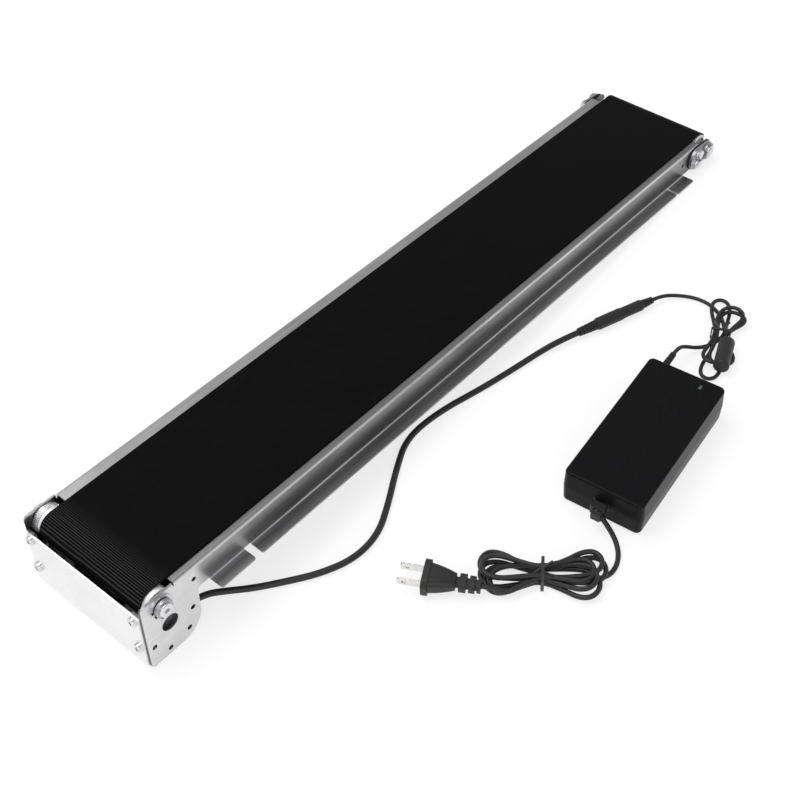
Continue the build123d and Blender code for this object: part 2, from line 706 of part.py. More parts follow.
def ribbed_relief(start, direction, length, r0, r1, ribs):
    """A tapered strain relief with grooves round it."""
    unit = Vector(*direction).normalized()
    solid = lying_cone(start, direction, length, r0, r1)
    pitch = length / (ribs + 1)
    for i in range(ribs):
        at = (i + 0.75) * pitch
        radius = r0 + (r1 - r0) * at / length
        groove_at = Vector(*start) + unit * at
        groove = lying_rod(groove_at, direction, pitch * 0.4, radius + 1)
        solid -= groove - lying_rod(groove_at, direction, pitch * 0.4, radius - 0.7)
    return solid


# ---------------------------------------------------------------- cords
def cord_path(points):
    """Straight runs joined by the largest tangent arcs that they allow."""
    radii = []
    for a, b, c in zip(points, points[1:], points[2:]):
        run_in, run_out = Vector(*b) - Vector(*a), Vector(*c) - Vector(*b)
        half_turn = radians(run_in.get_angle(run_out)) / 2
        radii.append(0.45 * min(run_in.length, run_out.length) / tan(half_turn))
    return FilletPolyline(*points, radius=radii), radii


def cord_tube(name, points, diameter):
    path, radii = cord_path(points)
    start = Plane(origin=path @ 0, z_dir=path % 0)
    tube = sweep(start * Circle(diameter / 2), path)
    expected = pi * diameter ** 2 / 4 * path.length
    print(f"{name}: length {path.length:.1f}, volume ratio {tube.volume / expected:.4f},",
          "radii in diameters", [round(r / diameter, 1) for r in radii])
    keep(name, tube, False)


def build_jack_and_plug():
    """The in-line socket on the motor's lead and the supply's plug, mated, lying on the bench."""
    unit = Vector(*JACK_LINE).normalized()

    def station(distance):
        return Vector(*JACK_START) + unit * distance

    body = lying_rod(station(18.0), JACK_LINE, 24.0, 5.2)
    body = fillet(body.edges().filter_by(GeomType.CIRCLE), 0.8)
    body += ribbed_relief(station(0), JACK_LINE, 18.5, 3.5, 4.4, 5)
    body -= lying_rod(station(30.0), JACK_LINE, 13.0, 2.8)
    keep("inline_jack", body, False)
    barrel = lying_rod(station(32.0), JACK_LINE, 10.0, 2.75)
    keep("dc_plug_barrel", barrel, False)
    grip = lying_rod(station(42.0), JACK_LINE, 20.0, 4.7)
    grip = fillet(grip.edges().filter_by(GeomType.CIRCLE), 0.8)
    grip += ribbed_relief(station(61.5), JACK_LINE, 11.5, 4.0, 2.9, 3)
    keep("dc_plug", grip, False)


def hank_solid(place, lobes, waist):
    """The outer shape of a tied hank: two lobes and the gathered waist between them."""
    length, width, middle = waist
    slab = Location((middle, 0, 1.3)) * extrude(Rectangle(length, width), 8.9)
    for x, y, rx, ry in lobes:
        slab += Location((x, y, 0.1)) * extrude(Ellipse(rx, ry), 11.2)
    return place * slab


def hank_tie(place, x, width):
    """A strip of wire tie closed round the waist, with its two loose ends on top."""
    band = Location((x, 0, 5.75)) * Box(2.2, width + 2.0, 11.1)
    band -= Location((x, 0, 5.75)) * Box(5.0, width, 9.1)
    for side in (1, -1):
        band += lying_rod((x, side * 1.2, 11.1), (0.75, side * 0.55, 0.22), 8.5, 0.7)
    return place * band


def build_dc_side():
    cord_tube("dc_lead", DC_LEAD, DC_LEAD_D)
    cord_tube("dc_lead_tail", DC_TAIL, DC_LEAD_D)
    ferrite = Cylinder(6.4, 31.0, rotation=(0, 90, 0))
    ferrite = fillet(ferrite.edges().filter_by(GeomType.CIRCLE), 2.2)
    ferrite = Location((128.4, -208.4, 8.4), (0, 0, 21.0)) * ferrite
    keep("ferrite_core", ferrite, False)
    hank = hank_solid(DC_HANK, ((27, -3.5, 19, 13.5), (-25, -1, 20, 14)), (46, 14, 2))
    hank = hank - ferrite - nodes["dc_lead"] - nodes["dc_lead_tail"]
    keep("dc_hank", hank, False)
    keep("dc_hank_tie", hank_tie(DC_HANK, 2.5, 14), False)


def build_ac_side():
    front = -ADAPTER_SIZE[0] / 2
    plug = box(front - 7.0, front - 0.3, -5.4, 5.4, 11.0, 19.0)
    plug = fillet(plug.edges().filter_by(Axis.Z), 1.6)
    elbow = box(front - 11.5, front - 6.8, -5.6, 2.6, 10.9, 17.6)
    plug += fillet(elbow.edges().filter_by(Axis.Z), 1.6)
    plug += box(front - 1.0, front + 3.0, -4.8, 4.8, 12.0, 18.0)
    for sy in (-2.2, 2.2):
        plug -= along(1.3, front - 1.2, front + 5.2, sy, 15.0)
    first = Vector(*AC_CORD[0])
    line = (Vector(*AC_CORD[1]) - first).normalized()
    relief = ribbed_relief(first - line * 9.0, line, 9.0, 3.4, 2.5, 3)
    keep("ac_connector", SUPPLY * plug + relief, False)
    cord_tube("ac_cord", AC_CORD, AC_CORD_D)
    cord_tube("ac_cord_end", AC_END, AC_CORD_D)
    hank = hank_solid(AC_HANK, ((25, 0, 20, 19), (-25, 0, 20, 19)), (50, 20, 0))
    for neighbour in ("ac_cord", "ac_cord_end", "mains_plug"):
        hank -= nodes[neighbour]
    keep("ac_hank", hank, False)
    keep("ac_hank_tie", hank_tie(AC_HANK, 0, 20), False)


def build_mains_plug():
    """The two-blade plug, lying on its side: flange, tapered body and a blocky relief."""
    lie = Plane(origin=PLUG_FACE, x_dir=(PLUG_LINE[1], -PLUG_LINE[0], 0), z_dir=PLUG_LINE).location
    body = extrude(RectangleRounded(24.6, 17.0, 5.5), 4.5)
    body += loft([Location((0, 0, 4.4)) * RectangleRounded(20.5, 15.0, 5.0),
                  Location((0, 0, 14.0)) * RectangleRounded(17.0, 13.0, 4.5),
                  Location((0, 0, 23.0)) * RectangleRounded(11.5, 9.6, 3.5)])
    body += Location((0, 0, 22.8)) * extrude(RectangleRounded(7.6, 6.6, 2.6), PLUG_LENGTH - 22.8)
    for start, length, width, height in PLUG_RIBS:
        body += Location((0, 0, start)) * extrude(RectangleRounded(width, height, 2.6), length)
    blades = []
    for side in (-6.35, 6.35):
        blade = Location((side, 0, -7.3)) * Box(1.5, 6.35, 20.6)
        blade = fillet(blade.edges().filter_by(Axis.X).sort_by(Axis.Z)[:2], 1.6)
        blade -= Location((side, 0, -12.6)) * (Location((0, 0, 0), (0, 90, 0)) * Cylinder(1.5, 4))
        body -= blade
        blades.append(lie * blade)
    keep("mains_plug", lie * body, False)
    keep("plug_blades", Compound(children=blades), False)


# ---------------------------------------------------------------- build
keep("bed_frame", bed_frame())
keep("front_cover", front_cover())
keep("cover_screws", cover_screws())
keep("cover_clinch_nuts", clinch_nuts())
keep("cable_grommet", cable_grommet())
keep("inner_lead", inner_lead())
keep("conveyor_belt", conveyor_belt())
keep("drive_bearing_outer_races", Compound(children=both_sides(flanged_bearing_outer())))
keep("drive_bearing_balls", bearing_balls())
keep("drive_bearing_inner_races", inner_races())
keep("drive_drum", drum(DRIVE_X, -56.4, 51.4, 3.4))
keep("drive_shaft", drive_shaft())
keep("shaft_end_washers", shaft_end_washers())
keep("shaft_end_screws", shaft_end_screws())
keep("collar_set_screws", collar_set_screws())
keep("roller_gear", roller_gear())
keep("motor_gear", motor_gear())
keep("output_shaft", output_shaft())
keep("motor_plate", motor_plate())
keep("motor_pillars", motor_pillars())
keep("pillar_screws", pillar_screws())
keep("gearbox_screws", gearbox_screws())
keep("gearbox_housing", gearbox_housing())
keep("motor_can", motor_can())
keep("motor_end_cap", motor_end_cap())
keep("motor_terminals", motor_terminals())
keep("tail_drum", drum(TAIL_X, -54.0, 50.0, 2.0))
keep("tail_shaft", tail_shaft())
keep("tail_shaft_clips", tail_shaft_clips())
keep("tail_bushings", tail_bushings())
keep("take_up_plates", take_up_plates())
keep("take_up_pads", take_up_pads())
keep("take_up_bolts", take_up_bolts())
keep("take_up_washers", take_up_washers())
keep("take_up_nuts", take_up_nuts())
build_adapter()
cord_tube("motor_lead", MOTOR_LEAD, MOTOR_LEAD_D)
build_jack_and_plug()
build_dc_side()
build_mains_plug()
build_ac_side()

for name, shape in nodes.items():
    export_step(shape, f"parts/{name}.step")
print("tilt", round(TILT, 4), "lift", round(LIFT, 3))
for label, (x, y, z) in {
    "drive axis": (DRIVE_X, 0, AXLE_Z), "tail axis": (TAIL_X, 0, AXLE_Z),
    "motor axis": (MOTOR_AXIS[0], 0, MOTOR_AXIS[1]),
}.items():
    print(label, [round(v, 4) for v in standing(x, y, z)])
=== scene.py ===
import bmesh
import bpy
from math import cos, pi, radians, sin
from mathutils import Matrix, Vector


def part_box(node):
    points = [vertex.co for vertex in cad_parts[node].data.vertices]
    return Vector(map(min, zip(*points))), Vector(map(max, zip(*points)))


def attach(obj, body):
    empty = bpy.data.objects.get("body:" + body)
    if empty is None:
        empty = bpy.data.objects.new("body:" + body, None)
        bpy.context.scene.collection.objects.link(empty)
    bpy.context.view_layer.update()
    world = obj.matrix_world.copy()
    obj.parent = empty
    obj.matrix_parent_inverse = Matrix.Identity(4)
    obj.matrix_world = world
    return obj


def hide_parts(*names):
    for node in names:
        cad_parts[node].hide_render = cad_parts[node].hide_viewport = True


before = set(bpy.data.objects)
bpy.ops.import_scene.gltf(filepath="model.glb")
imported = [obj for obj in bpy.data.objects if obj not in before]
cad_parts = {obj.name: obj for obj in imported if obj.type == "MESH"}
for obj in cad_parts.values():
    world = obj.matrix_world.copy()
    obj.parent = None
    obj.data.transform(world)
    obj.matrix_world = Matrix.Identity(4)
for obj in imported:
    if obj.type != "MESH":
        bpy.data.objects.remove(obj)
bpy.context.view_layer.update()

MM = 0.001
SLOPE = 3.5437              # degrees by which the conveyor runs down towards its tail
BED_ORIGIN = (-0.3177, 0.0, 0.06479)   # middle of the drive-end edge of the bed's top face


def mm(*values):
    """Millimetres as metres."""
    return tuple(v * MM for v in values)


# ---------------------------------------------------------------- camera, floor and light
def set_camera():
    camera = bpy.data.objects.new("camera", bpy.data.cameras.new("camera"))
    bpy.context.scene.collection.objects.link(camera)
    camera.location = mm(-569.22, -494.34, 759.90)
    camera.rotation_euler = [radians(v) for v in (42.016, 2.084, -49.933)]
    camera.data.lens = 58.48
    camera.data.sensor_width = 36.0
    camera.data.clip_start = 0.05
    bpy.context.scene.camera = camera


def soft_light(name, place, aim, size, power):
    lamp = bpy.data.lights.new(name, "AREA")
    lamp.shape = "RECTANGLE"
    lamp.size, lamp.size_y = size
    lamp.energy = power
    item = bpy.data.objects.new(name, lamp)
    item.location = place
    item.rotation_euler = (Vector(aim) - Vector(place)).to_track_quat("-Z", "Y").to_euler()
    bpy.context.scene.collection.objects.link(item)


def set_studio():
    world = bpy.data.worlds.new("studio")
    world.use_nodes = True
    nodes, links = world.node_tree.nodes, world.node_tree.links
    place = nodes.new("ShaderNodeTexCoord")
    split = nodes.new("ShaderNodeSeparateXYZ")
    ramp = nodes.new("ShaderNodeValToRGB")
    stretch = nodes.new("ShaderNodeMapRange")
    stretch.inputs["From Min"].default_value = -1.0
    links.new(place.outputs["Generated"], split.inputs[0])
    links.new(split.outputs["Z"], stretch.inputs["Value"])
    links.new(stretch.outputs[0], ramp.inputs[0])
    shades = ((0.0, 0.95), (0.5, 0.95), (0.62, 0.80), (1.0, 0.50))
    ramp.color_ramp.elements.new(0.5)
    ramp.color_ramp.elements.new(0.62)
    for element, (at, shade) in zip(ramp.color_ramp.elements, shades):
        element.position = at
        element.color = (shade, shade, shade * 1.01, 1)
    links.new(ramp.outputs[0], nodes["Background"].inputs["Color"])
    nodes["Background"].inputs["Strength"].default_value = 0.95
    bpy.context.scene.world = world
    bpy.context.scene.view_settings.view_transform = "Standard"
    soft_light("overhead", (-0.3, 0.5, 1.7), (0.0, -0.05, 0.0), (1.6, 1.2), 17.0)
    soft_light("front_fill", (-1.3, -1.1, 0.9), (-0.1, 0.0, 0.05), (1.2, 0.8), 5.0)


def make_floor():
    bm = bmesh.new()
    bmesh.ops.create_grid(bm, x_segments=1, y_segments=1, size=4.0)
    mesh = bpy.data.meshes.new("floor")
    bm.to_mesh(mesh)
    bm.free()
    floor = bpy.data.objects.new("floor", mesh)
    floor.location.z = -0.0002
    bpy.context.scene.collection.objects.link(floor)
    finish = bpy.data.materials.new("floor_paper")
    finish.use_nodes = True
    shader = finish.node_tree.nodes["Principled BSDF"]
    shader.inputs["Base Color"].default_value = (0.28, 0.28, 0.28, 1)
    shader.inputs["Roughness"].default_value = 0.75
    shader.inputs["Specular IOR Level"].default_value = 0.05
    shader.inputs["Emission Color"].default_value = (1, 1, 1, 1)
    shader.inputs["Emission Strength"].default_value = 0.74
    mesh.materials.append(finish)


# ---------------------------------------------------------------- materials
class Finish:
    """A node material, built up from patterns that follow the piece's own coordinates."""

    def __init__(self, name, colour, roughness, metallic=0.0, **sockets):
        self.material = bpy.data.materials.new(name)
        self.material.use_nodes = True
        self.tree = self.material.node_tree
        self.shader = self.tree.nodes["Principled BSDF"]
        self.shader.inputs["Base Color"].default_value = (*colour, 1)
        self.shader.inputs["Roughness"].default_value = roughness
        self.shader.inputs["Metallic"].default_value = metallic
        for socket, value in sockets.items():
            self.shader.inputs[socket.replace("_", " ")].default_value = value

    def node(self, kind, **settings):
        made = self.tree.nodes.new(kind)
        for key, value in settings.items():
            setattr(made, key, value)
        return made

    def link(self, output, target):
        self.tree.links.new(output, target)

    def place(self, scale=(1.0, 1.0, 1.0), centre=(0.0, 0.0, 0.0), turn=0.0):
        """Object coordinates in millimetres, after a shift and a turn about Y."""
        vector = self.node("ShaderNodeTexCoord").outputs["Object"]
        steps = (("Location", [-v for v in centre]), ("Rotation", (0, radians(turn), 0)),
                 ("Scale", [v / MM for v in scale]))
        for socket, value in steps:
            mapping = self.node("ShaderNodeMapping")
            mapping.inputs[socket].default_value = value
            self.link(vector, mapping.inputs["Vector"])
            vector = mapping.outputs["Vector"]
        return vector

    def level_axes(self):
        """X, Y and Z in millimetres along the bed, across it and up from its top face."""
        split = self.node("ShaderNodeSeparateXYZ")
        self.link(self.place(centre=BED_ORIGIN, turn=-SLOPE), split.inputs[0])
        return split.outputs["X"], split.outputs["Y"], split.outputs["Z"]

    def blend(self, factor, low, high):
        """Goes from one value to another; each may be a number or a pattern."""
        mix = self.node("ShaderNodeMix", data_type="FLOAT")
        for socket, value in (("Factor", factor), ("A", low), ("B", high)):
            if isinstance(value, (int, float)):
                mix.inputs[socket].default_value = value
            else:
                self.link(value, mix.inputs[socket])
        return mix.outputs["Result"]

    def grey(self, value, warmth=1.0):
        """Uses one value as a neutral colour."""
        combine = self.node("ShaderNodeCombineColor")
        self.link(value, combine.inputs["Red"])
        self.link(value, combine.inputs["Green"])
        self.link(self.math("MULTIPLY", value, warmth), combine.inputs["Blue"])
        self.link(combine.outputs["Color"], self.shader.inputs["Base Color"])

    def noise(self, vector, scale, detail=3.0, rough=0.55):
        pattern = self.node("ShaderNodeTexNoise")
        pattern.inputs["Scale"].default_value = scale
        pattern.inputs["Detail"].default_value = detail
        pattern.inputs["Roughness"].default_value = rough
        self.link(vector, pattern.inputs["Vector"])
        return pattern.outputs["Fac"]

    def spread(self, value, low, high, from_low=0.3, from_high=0.7):
        span = self.node("ShaderNodeMapRange")
        span.inputs["From Min"].default_value = from_low
        span.inputs["From Max"].default_value = from_high
        span.inputs["To Min"].default_value = low
        span.inputs["To Max"].default_value = high
        self.link(value, span.inputs["Value"])
        return span.outputs["Result"]

    def math(self, operation, a, b=None):
        sum_node = self.node("ShaderNodeMath", operation=operation)
        for socket, value in zip(sum_node.inputs, (a, b)):
            if value is None:
                continue
            if isinstance(value, (int, float)):
                socket.default_value = value
            else:
                self.link(value, socket)
        return sum_node.outputs[0]

    def colour(self, factor, low, high):
        mix = self.node("ShaderNodeMix", data_type="RGBA")
        mix.inputs["A"].default_value = (*low, 1)
        mix.inputs["B"].default_value = (*high, 1)
        self.link(factor, mix.inputs["Factor"])
        self.link(mix.outputs["Result"], self.shader.inputs["Base Color"])

    def roughen(self, value):
        self.link(value, self.shader.inputs["Roughness"])

    def bump(self, height, depth_mm, strength=1.0):
        relief = self.node("ShaderNodeBump")
        relief.inputs["Strength"].default_value = strength
        relief.inputs["Distance"].default_value = depth_mm * MM
        self.link(height, relief.inputs["Height"])
        before = self.shader.inputs["Normal"].links
        if before:
            self.link(before[0].from_socket, relief.inputs["Normal"])
        self.link(relief.outputs["Normal"], self.shader.inputs["Normal"])


def brushed_steel(name, light, dark, stretch, roughness=(0.24, 0.40), anisotropic=0.4):
    """Brushed sheet or bar: long fine scratches over a slow change of tone."""
    finish = Finish(name, light, 0.3, 1.0, Anisotropic=anisotropic)
    scratches = finish.noise(finish.place(stretch, turn=-SLOPE), 1.0, 4.0, 0.65)
    cloud = finish.noise(finish.place(), 0.018, 2.0)
    tone = finish.math("ADD", finish.spread(scratches, 0.0, 0.65), finish.spread(cloud, 0.0, 0.35))
    finish.colour(tone, dark, light)
    finish.roughen(finish.spread(scratches, *roughness))
    finish.bump(scratches, 0.012, 0.5)
    return finish.material


def bed_sheet(name):
    """The bed's brushed sheet, with painted reflections: painted highlights on ears and folds, darker
    painted reflection on the webs, painted shade on the undersides.
    """
    finish = Finish(name, (0.3, 0.3, 0.3), 0.3, 1.0, Anisotropic=0.35)
    x, y, z = finish.level_axes()
    out = finish.math("ABSOLUTE", y)
    scratches = finish.noise(finish.place((0.02, 2.2, 2.2), BED_ORIGIN, -SLOPE), 1.0, 4.0, 0.65)
    cloud = finish.noise(finish.place(), 0.012, 3.0)
    # painted reflection on the webs: darker low down, lighter higher up, and lighter still near the drive
    # end
    web_reflection = finish.spread(z, 0.13, 0.28, -22.0, -5.0)
    web_reflection = finish.blend(finish.spread(x, 1.0, 0.0, 24.0, 110.0), web_reflection, 0.42)
    # painted reflection on the flange foot, lighter towards its inner edge
    foot = finish.spread(z, 1.0, 0.0, -24.0, -22.4)
    web_reflection = finish.blend(foot, web_reflection, finish.spread(out, 0.52, 0.30, 60.0, 64.0))
    # painted reflection on the bed's top face: lighter from the -Y edge across to the +Y edge
    top = finish.blend(finish.spread(y, 0.0, 1.0, -50.0, 50.0), 0.22, 0.36)
    tone = finish.blend(finish.spread(z, 0.0, 1.0, -1.6, -0.5), web_reflection, top)
    # painted highlight along the fold between the top face and the web
    fold_highlight = finish.math("MULTIPLY", finish.spread(z, 0.0, 1.0, -2.8, -1.4),
                       finish.spread(z, 1.0, 0.0, -0.9, -0.1))
    tone = finish.blend(fold_highlight, tone, 0.62)
    # painted highlight on the ears at the drive end, below the top face
    ear_highlight = finish.math("MULTIPLY", finish.spread(x, 1.0, 0.0, 17.0, 24.0),
                      finish.spread(z, 1.0, 0.0, -1.6, -0.5))
    tone = finish.blend(ear_highlight, tone, 0.66)
    # painted shade on the faces under the top, inside the webs
    hidden_shade = finish.math("MULTIPLY", finish.spread(out, 1.0, 0.0, 57.7, 58.3),
                         finish.spread(z, 1.0, 0.0, -1.7, -1.0))
    tone = finish.blend(hidden_shade, tone, 0.12)
    shade = finish.math("MULTIPLY", finish.spread(scratches, 0.86, 1.12), finish.spread(cloud, 0.84, 1.14))
    finish.grey(finish.math("MULTIPLY", tone, shade), 1.01)
    finish.roughen(finish.spread(scratches, 0.26, 0.42))
    finish.bump(scratches, 0.012, 0.5)
    return finish.material


def plated_steel(name, light, dark, roughness):
    """Plated or machined small parts: a faint mottle and a fine scatter of marks."""
    finish = Finish(name, light, roughness, 1.0)
    mottle = finish.noise(finish.place(), 0.35, 4.0, 0.6)
    finish.colour(finish.spread(mottle, 0.0, 1.0), dark, light)
    finish.roughen(finish.spread(finish.noise(finish.place(), 1.6), roughness - 0.07, roughness + 0.1))
    finish.bump(mottle, 0.02, 0.4)
    return finish.material


def turned_metal(name, light, dark, roughness, centre):
    """Turned faces: fine rings round the axis of a shaft that lies across the machine."""
    finish = Finish(name, light, roughness, 1.0)
    split = finish.node("ShaderNodeSeparateXYZ")
    finish.link(finish.place(centre=centre), split.inputs[0])
    x, z = split.outputs["X"], split.outputs["Z"]
    squares = finish.math("ADD", finish.math("MULTIPLY", x, x), finish.math("MULTIPLY", z, z))
    radius = finish.math("SQRT", squares)
    along = finish.math("ADD", radius, finish.math("MULTIPLY", split.outputs["Y"], 1.7))
    rings = finish.math("SINE", finish.math("MULTIPLY", along, 9.0))
    grain = finish.noise(finish.place(centre=centre), 0.8)
    tone = finish.math("ADD", finish.spread(rings, 0.0, 0.5, -1.0, 1.0), finish.spread(grain, 0.0, 0.5))
    finish.colour(tone, dark, light)
    finish.roughen(finish.spread(grain, roughness - 0.06, roughness + 0.1))
    finish.bump(rings, 0.01, 0.5)
    return finish.material


def knurled_drum(name, centre):
    """A fine diamond knurl wrapped round the drum."""
    finish = Finish(name, (0.92, 0.92, 0.93), 0.5, 0.6)
    split = finish.node("ShaderNodeSeparateXYZ")
    finish.link(finish.place(centre=centre), split.inputs[0])
    angle = finish.math("ARCTAN2", split.outputs["Z"], split.outputs["X"])
    round_way = finish.math("MULTIPLY", angle, 40.0)
    across_way = finish.math("MULTIPLY", split.outputs["Y"], 3.6)
    one = finish.math("SINE", finish.math("ADD", round_way, across_way))
    other = finish.math("SINE", finish.math("SUBTRACT", round_way, across_way))
    diamonds = finish.math("MAXIMUM", one, other)
    # darker in the knurl's grooves: painted shade
    finish.colour(finish.spread(diamonds, 1.0, 0.0, 0.1, 1.0), (0.84, 0.84, 0.85), (0.98, 0.98, 0.98))
    finish.roughen(finish.spread(diamonds, 0.42, 0.6, 0.0, 1.0))
    finish.bump(diamonds, -0.10, 0.5)
    return finish.material


def moulded_plastic(name, tone, roughness, grain_mm, depth_mm, sheen_step=0.008):
    """Spark-eroded plastic: fine grain, with a painted sheen that makes its high spots slightly lighter.
    """
    finish = Finish(name, (tone, tone, tone * 1.04), roughness, Specular_IOR_Level=0.35)
    grain = finish.noise(finish.place(), 1.0 / grain_mm, 3.0, 0.6)
    cloud = finish.noise(finish.place(), 0.03, 2.0)
    high = tone + sheen_step
    # painted sheen: the grain's raised spots lighter by sheen_step
    finish.colour(finish.spread(grain, 0.0, 1.0), (tone, tone, tone * 1.04), (high, high, high * 1.03))
    finish.roughen(finish.spread(cloud, roughness - 0.05, roughness + 0.08))
    finish.bump(grain, depth_mm, 0.8)
    return finish.material


def supply_case(name):
    """The supply's case, with a fine dark line where its halves meet."""
    finish = Finish(name, (0.005, 0.005, 0.006), 0.34, Specular_IOR_Level=0.08)
    split = finish.node("ShaderNodeSeparateXYZ")
    finish.link(finish.place(), split.inputs[0])
    grain = finish.noise(finish.place(), 1.4, 3.0, 0.6)
    finish.colour(finish.spread(grain, 0.0, 1.0), (0.003, 0.003, 0.0035), (0.008, 0.008, 0.009))
    finish.roughen(finish.spread(grain, 0.24, 0.36))
    from_seam = finish.math("ABSOLUTE", finish.math("SUBTRACT", split.outputs["Z"], 16.0))
    finish.bump(finish.spread(from_seam, 0.0, 1.0, 0.15, 0.5), 0.35, 0.9)
    finish.bump(grain, 0.02, 0.5)
    return finish.material


def cord_rubber(name, tone):
    """Extruded sheath: soft gloss and faint drawing marks."""
    finish = Finish(name, (tone, tone, tone * 1.05), 0.40, Specular_IOR_Level=0.40)
    marks = finish.noise(finish.place((0.5, 0.5, 0.5)), 1.2, 2.0)
    high = tone * 1.7
    finish.colour(finish.spread(marks, 0.0, 1.0), (tone, tone, tone * 1.05), (high, high, high * 1.04))
    finish.roughen(finish.spread(marks, 0.36, 0.5))
    finish.bump(marks, 0.02, 0.5)
    return finish.material


def belt_rubber(name):
    """Black belt: fine pebble, a little dust, and fine stretch lines across the drive drum's bend, with
    painted highlights along them.
    """
    finish = Finish(name, (0.004, 0.004, 0.005), 0.5, Specular_IOR_Level=0.03)
    x = finish.level_axes()[0]
    pebble = finish.node("ShaderNodeTexVoronoi", feature="SMOOTH_F1")
    pebble.inputs["Scale"].default_value = 1.1
    pebble.inputs["Smoothness"].default_value = 0.6
    finish.link(finish.place(), pebble.inputs["Vector"])
    dust = finish.noise(finish.place((0.6, 1.0, 1.0)), 0.05, 5.0, 0.7)
    speck = finish.noise(finish.place(), 1.5, 2.0)
    tone = finish.math("ADD", finish.spread(dust, 0.0, 0.6), finish.spread(speck, 0.0, 0.4, 0.4, 0.8))
    finish.roughen(finish.spread(dust, 0.44, 0.58))
    finish.bump(pebble.outputs["Distance"], -0.08, 0.5)
    wander = finish.math("MULTIPLY", finish.noise(finish.place((0.3, 0.03, 0.3)), 1.0, 2.0), 4.0)
    waves = finish.math("SINE", finish.math("ADD", finish.math("MULTIPLY", x, 3.9), wander))
    bend = finish.spread(x, 1.0, 0.0, -11.0, 4.0)
    finish.bump(finish.math("MULTIPLY", waves, bend), 0.12, 0.8)
    # painted highlight: the stretch lines lighter where the belt bends round the drive drum
    line = finish.math("MULTIPLY", finish.spread(waves, 0.0, 0.035, 0.2, 1.0), bend)
    ground = finish.spread(tone, 0.0020, 0.0050, 0.0, 1.0)
    finish.grey(finish.math("ADD", ground, line), 1.04)
    return finish.material


def coated_board(name):
    """Green lacquer over faint tracks."""
    finish = Finish(name, (0.03, 0.16, 0.07), 0.4)
    tracks = finish.noise(finish.place((1.0, 0.2, 1.0)), 0.6, 3.0)
    finish.colour(finish.spread(tracks, 0.0, 1.0), (0.02, 0.12, 0.05), (0.06, 0.24, 0.11))
    return finish.material


def lamp_lens(name):
    """Clear lens with a little haze."""
    finish = Finish(name, (0.08, 0.09, 0.08), 0.12, Transmission_Weight=0.35, IOR=1.49)
    haze = finish.noise(finish.place(), 1.2, 2.0)
    finish.colour(finish.spread(haze, 0.0, 1.0), (0.05, 0.06, 0.05), (0.16, 0.18, 0.16))
    finish.roughen(finish.spread(haze, 0.08, 0.2))
    return finish.material


def strip_plastic(name):
    """Ribbed coat of a wire tie."""
    finish = Finish(name, (0.02, 0.02, 0.021), 0.3)
    ribs = finish.noise(finish.place(), 0.9, 2.0)
    finish.colour(finish.spread(ribs, 0.0, 1.0), (0.014, 0.014, 0.015), (0.035, 0.035, 0.036))
    finish.roughen(finish.spread(ribs, 0.22, 0.42))
    return finish.material


def middle_of(node):
    low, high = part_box(node)
    return [(a + b) / 2 for a, b in zip(low, high)]


DRIVE = middle_of("drive_shaft")
TAIL = middle_of("tail_shaft")

sheet_steel = bed_sheet("brushed_stainless")
cover_steel = brushed_steel("cover_stainless", (0.90, 0.90, 0.90), (0.76, 0.76, 0.77), (2.2, 0.02, 2.2))
zinc = plated_steel("zinc_plate", (0.40, 0.40, 0.41), (0.26, 0.26, 0.27), 0.38)
bright = plated_steel("bright_plate", (0.80, 0.80, 0.81), (0.62, 0.62, 0.63), 0.22)
ground = turned_metal("ground_steel", (0.76, 0.76, 0.77), (0.56, 0.56, 0.57), 0.24, DRIVE)
gear_steel = plated_steel("gear_steel", (0.88, 0.88, 0.89), (0.74, 0.74, 0.75), 0.3)
race = turned_metal("race_steel", (0.70, 0.70, 0.71), (0.46, 0.46, 0.47), 0.2, DRIVE)
collar = turned_metal("collar_steel", (0.50, 0.50, 0.52), (0.34, 0.34, 0.35), 0.32, DRIVE)
tail_ground = turned_metal("tail_ground_steel", (0.76, 0.76, 0.77), (0.56, 0.56, 0.57), 0.24, TAIL)
bushing = turned_metal("bushing_steel", (0.44, 0.44, 0.45), (0.28, 0.28, 0.29), 0.36, TAIL)
black_steel = plated_steel("black_steel", (0.06, 0.06, 0.062), (0.035, 0.035, 0.036), 0.34)
cast_zinc = plated_steel("cast_zinc", (0.72, 0.72, 0.73), (0.56, 0.56, 0.57), 0.42)
belt_black = belt_rubber("belt_rubber")
can_black = moulded_plastic("can_paint", 0.020, 0.34, 1.4, 0.02)
brush_grey = moulded_plastic("brush_housing", 0.45, 0.45, 1.0, 0.03)
cord_black = cord_rubber("cord_sheath", 0.010)
plug_black = moulded_plastic("moulded_black", 0.012, 0.42, 0.8, 0.03)
pad_black = moulded_plastic("pad_rubber", 0.010, 0.62, 0.6, 0.03)
case_black = supply_case("supply_case")
contact = plated_steel("nickel_contact", (0.82, 0.81, 0.79), (0.66, 0.65, 0.63), 0.2)
board_green = coated_board("board_green")
lens_clear = lamp_lens("lamp_lens")
tie_grey = strip_plastic("tie_strip")

